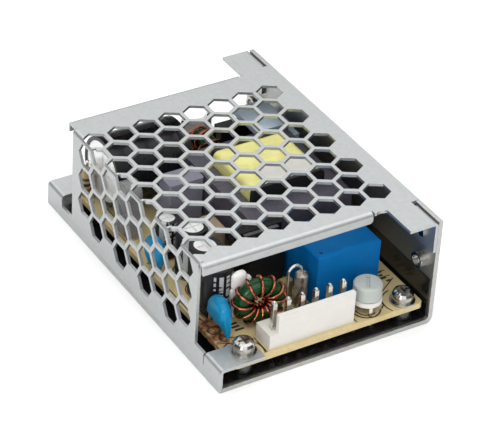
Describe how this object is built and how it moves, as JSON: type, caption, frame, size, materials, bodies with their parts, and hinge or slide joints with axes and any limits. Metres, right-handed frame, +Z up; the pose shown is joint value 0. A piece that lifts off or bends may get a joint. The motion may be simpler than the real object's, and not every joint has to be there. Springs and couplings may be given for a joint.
{
  "type": "battery backup power supply",
  "caption": "Open-ended switching power supply with a battery backup output, in a folded sheet metal case with a hexagon-perforated cover, a component board, a post header and a trimmer.",
  "frame": {"origin": "middle of the underside of the base", "axes": "+X from the perforated left wall to the plain right wall, +Y from the output end to the mains input end, +Z up"},
  "size_m": [0.062, 0.09, 0.031],
  "materials": {
    "galvanized_steel": "galvanized sheet, fine satin",
    "cover_steel": "galvanized sheet, fine satin",
    "black_film": "thin black insulating film",
    "nickel": "nickel plated",
    "board_tan": "paper phenolic laminate",
    "white_nylon": "moulded nylon",
    "tin": "tin plated",
    "track_brown": "resistive disc",
    "frosted_plastic": "frosted translucent",
    "relay_blue": "moulded case",
    "core_green": "epoxy coated powder core",
    "copper": "enamelled copper wire",
    "disc_blue": "dipped coating",
    "aluminium": "bare aluminium",
    "sleeve_grey": "shrunk sleeve",
    "sleeve_black": "shrunk sleeve",
    "dipped_grey": "dipped coating",
    "box_grey": "moulded box",
    "polyester_beige": "dipped coating",
    "ceramic_olive": "dipped coating",
    "ferrite": "ground ferrite",
    "black_phenolic": "moulded phenolic or epoxy",
    "yellow_tape": "polyester tape",
    "white_label": "bare paper label",
    "black_aluminium": "black anodized",
    "fuse_ceramic": "glazed tube",
    "diode_grey": "moulded body",
    "white_silicone": "cured silicone"
  },
  "bodies": {
    "case": {"base_chassis": "galvanized_steel", "top_cover": "cover_steel", "insulation_film": "black_film", "wall_nuts": "nickel", "board_standoffs": "nickel", "board_screws": "nickel", "spring_washers": "nickel", "flat_washers": "nickel", "cover_screws": "nickel", "circuit_board": "board_tan", "output_header": "white_nylon", "output_pins": "tin", "input_header": "white_nylon", "input_pins": "tin", "trimmer_base": "white_nylon", "trimmer_track": "track_brown", "trimmer_legs": "tin", "relay": "relay_blue", "output_choke_core": "core_green", "output_choke_winding": "copper", "filter_choke_core": "core_green", "filter_choke_winding": "copper", "disc_capacitor": "disc_blue", "y_capacitors": "disc_blue", "output_cap_cans": "aluminium", "output_cap_sleeves": "sleeve_grey", "bulk_cap_can": "aluminium", "bulk_cap_sleeve": "sleeve_black", "film_capacitor": "dipped_grey", "box_capacitor": "box_grey", "polyester_capacitor": "polyester_beige", "ceramic_capacitor": "ceramic_olive", "transformer_core": "ferrite", "transformer_bobbin": "black_phenolic", "transformer_winding": "yellow_tape", "transformer_label": "white_label", "heat_sink": "aluminium", "output_heat_sink": "black_aluminium", "power_packages": "black_phenolic", "package_tabs": "tin", "package_screws": "nickel", "bridge_rectifier": "black_phenolic", "input_fuse": "fuse_ceramic", "fuse_caps": "tin", "standing_diode": "diode_grey", "fusible_resistor": "polyester_beige", "bent_leads": "tin", "optocoupler": "black_phenolic", "silicone_bead": "white_silicone", "component_leads": "tin"},
    "knob": {"trimmer_knob": "frosted_plastic"}
  },
  "joints": [
    {"name": "trimmer_turn", "type": "hinge", "parent": "case", "child": "knob", "pos_m": [0.0143, -0.0393, 0.0103], "axis": [0, 0, 1], "range_deg": [-105, 105]}
  ]
}
